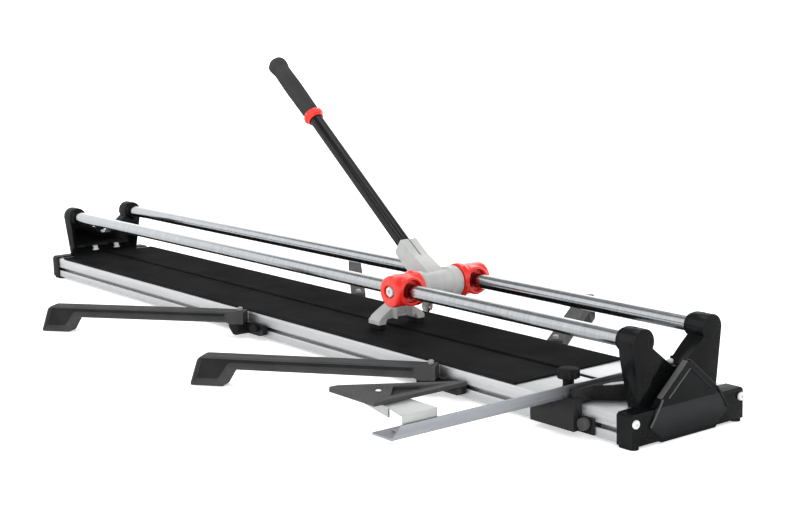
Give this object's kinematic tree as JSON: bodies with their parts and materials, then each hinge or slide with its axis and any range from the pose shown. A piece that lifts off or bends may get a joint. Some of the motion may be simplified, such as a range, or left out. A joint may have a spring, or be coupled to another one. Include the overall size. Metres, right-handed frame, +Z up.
{
  "type": "tile cutter",
  "caption": "Long manual tile cutter: round twin rails, a sliding red-sleeved carriage with a lever, scoring wheel and breaker foot, a rubber bed, swing-out side arms and a fence with a square.",
  "frame": {"origin": "centre of the bed in plan, on the floor under the feet", "axes": "+X along the rails towards the end with the fence, +Y to the rear side (away from the fence's outer end), +Z up"},
  "size_m": [1.926, 0.9408, 0.5361],
  "materials": {
    "bed_aluminium": "satin extruded aluminium",
    "spine_steel": "black coated steel",
    "bed_rubber": "matt black rubber sheet",
    "black_casting": "gloss black casting",
    "black_plastic": "moulded black plastic",
    "foot_rubber": "matt black rubber",
    "zinc": "bright zinc plate",
    "rail_steel": "polished ground steel",
    "fence_aluminium": "anodised aluminium",
    "red_plastic": "glossy red moulded plastic",
    "grey_casting": "sand-textured light grey casting",
    "black_paint": "gloss black paint on steel tube",
    "grey_plastic": "fine-grained dark grey plastic",
    "carbide": "ground hard metal"
  },
  "bodies": {
    "bed": {"front_profile": "bed_aluminium", "rear_profile": "bed_aluminium", "centre_spine": "spine_steel", "rubber_pad_front": "bed_rubber", "rubber_pad_rear": "bed_rubber", "near_support": "black_casting", "near_cover": "black_plastic", "foot_near_front": "foot_rubber", "foot_near_rear": "foot_rubber", "end_bolt_near_front": "zinc", "end_bolt_near_rear": "zinc", "far_support": "black_casting", "far_cover": "black_plastic", "foot_far_front": "foot_rubber", "foot_far_rear": "foot_rubber", "end_bolt_far_front": "zinc", "end_bolt_far_rear": "zinc", "front_rail": "rail_steel", "rear_rail": "rail_steel", "fence_holder": "black_plastic", "end_stop": "black_plastic", "angle_plate": "fence_aluminium"},
    "carriage": {"sleeve_front": "red_plastic", "sleeve_nut_front": "zinc", "sleeve_rear": "red_plastic", "sleeve_nut_rear": "zinc", "cross_axle": "rail_steel"},
    "lever": {"lever_body": "grey_casting", "lever_tube": "black_paint", "grip_collar": "red_plastic", "grip": "grey_plastic", "breaker_foot": "grey_casting", "foot_pad_front": "foot_rubber", "foot_pad_rear": "foot_rubber", "wheel_holder": "zinc", "wheel_pin": "zinc"},
    "wheel": {"scoring_wheel": "carbide"},
    "fence": {"fence_bar": "fence_aluminium"},
    "square": {"square_bracket": "fence_aluminium", "square_plate": "black_plastic", "square_screw": "zinc"},
    "fence_clamp": {"fence_knob": "black_plastic"},
    "holder_clamp": {"holder_knob": "grey_plastic"},
    "station_front_far": {"hinge_block_front_far": "black_plastic", "hinge_pin_front_far": "zinc"},
    "knob_front_far": {"clamp_knob_front_far": "grey_plastic"},
    "arm_front_far": {"swing_arm_front_far": "grey_plastic"},
    "station_front_near": {"hinge_block_front_near": "black_plastic", "hinge_pin_front_near": "zinc"},
    "knob_front_near": {"clamp_knob_front_near": "grey_plastic"},
    "arm_front_near": {"swing_arm_front_near": "grey_plastic"},
    "station_rear_far": {"hinge_block_rear_far": "black_plastic", "hinge_pin_rear_far": "zinc"},
    "knob_rear_far": {"clamp_knob_rear_far": "grey_plastic"},
    "arm_rear_far": {"swing_arm_rear_far": "grey_plastic"},
    "station_rear_near": {"hinge_block_rear_near": "black_plastic", "hinge_pin_rear_near": "zinc"},
    "knob_rear_near": {"clamp_knob_rear_near": "grey_plastic"},
    "arm_rear_near": {"swing_arm_rear_near": "grey_plastic"}
  },
  "joints": [
    {"name": "carriage_slide", "type": "slide", "parent": "bed", "child": "carriage", "axis": [1, 0, 0], "range_m": [-1.11, 0.49]},
    {"name": "lever_swing", "type": "hinge", "parent": "carriage", "child": "lever", "pos_m": [0.372, 0, 0.14685], "axis": [0, 1, 0], "range_deg": [0, 100]},
    {"name": "wheel_spin", "type": "hinge", "parent": "lever", "child": "wheel", "pos_m": [0.346, 0, 0.101], "axis": [0, 1, 0], "continuous": true},
    {"name": "fence_slide", "type": "slide", "parent": "bed", "child": "fence", "axis": [0, 1, 0], "range_m": [-0.04, 0.04]},
    {"name": "square_slide", "type": "slide", "parent": "fence", "child": "square", "axis": [0, 1, 0], "range_m": [-0.015, 0.13]},
    {"name": "fence_clamp_turn", "type": "hinge", "parent": "bed", "child": "fence_clamp", "pos_m": [0.825, -0.115, 0.09], "axis": [0, 0, 1], "continuous": true},
    {"name": "holder_clamp_turn", "type": "hinge", "parent": "bed", "child": "holder_clamp", "pos_m": [0.872, -0.13, 0.0245], "axis": [0, 1, 0], "continuous": true},
    {"name": "station_slide_front_far", "type": "slide", "parent": "bed", "child": "station_front_far", "axis": [1, 0, 0], "range_m": [-0.2, 0.1]},
    {"name": "arm_swing_front_far", "type": "hinge", "parent": "station_front_far", "child": "arm_front_far", "pos_m": [-0.07, -0.1356, 0.0405], "axis": [0, 0, 1], "range_deg": [-36, 53]},
    {"name": "knob_turn_front_far", "type": "hinge", "parent": "station_front_far", "child": "knob_front_far", "pos_m": [-0.024, -0.1356, 0.0245], "axis": [0, 1, 0], "continuous": true},
    {"name": "station_slide_front_near", "type": "slide", "parent": "bed", "child": "station_front_near", "axis": [1, 0, 0], "range_m": [-0.1, 0.12]},
    {"name": "arm_swing_front_near", "type": "hinge", "parent": "station_front_near", "child": "arm_front_near", "pos_m": [0.524, -0.1356, 0.0405], "axis": [0, 0, 1], "range_deg": [-36, 53]},
    {"name": "knob_turn_front_near", "type": "hinge", "parent": "station_front_near", "child": "knob_front_near", "pos_m": [0.57, -0.1356, 0.0245], "axis": [0, 1, 0], "continuous": true},
    {"name": "station_slide_rear_far", "type": "slide", "parent": "bed", "child": "station_rear_far", "axis": [1, 0, 0], "range_m": [-0.2, 0.1]},
    {"name": "arm_swing_rear_far", "type": "hinge", "parent": "station_rear_far", "child": "arm_rear_far", "pos_m": [-0.052, 0.1356, 0.0405], "axis": [0, 0, 1], "range_deg": [-54, 34]},
    {"name": "knob_turn_rear_far", "type": "hinge", "parent": "station_rear_far", "child": "knob_rear_far", "pos_m": [-0.006, 0.1356, 0.0245], "axis": [0, 1, 0], "continuous": true},
    {"name": "station_slide_rear_near", "type": "slide", "parent": "bed", "child": "station_rear_near", "axis": [1, 0, 0], "range_m": [-0.1, 0.12]},
    {"name": "arm_swing_rear_near", "type": "hinge", "parent": "station_rear_near", "child": "arm_rear_near", "pos_m": [0.532, 0.1356, 0.0405], "axis": [0, 0, 1], "range_deg": [-36, 51]},
    {"name": "knob_turn_rear_near", "type": "hinge", "parent": "station_rear_near", "child": "knob_rear_near", "pos_m": [0.578, 0.1356, 0.0245], "axis": [0, 1, 0], "continuous": true}
  ]
}
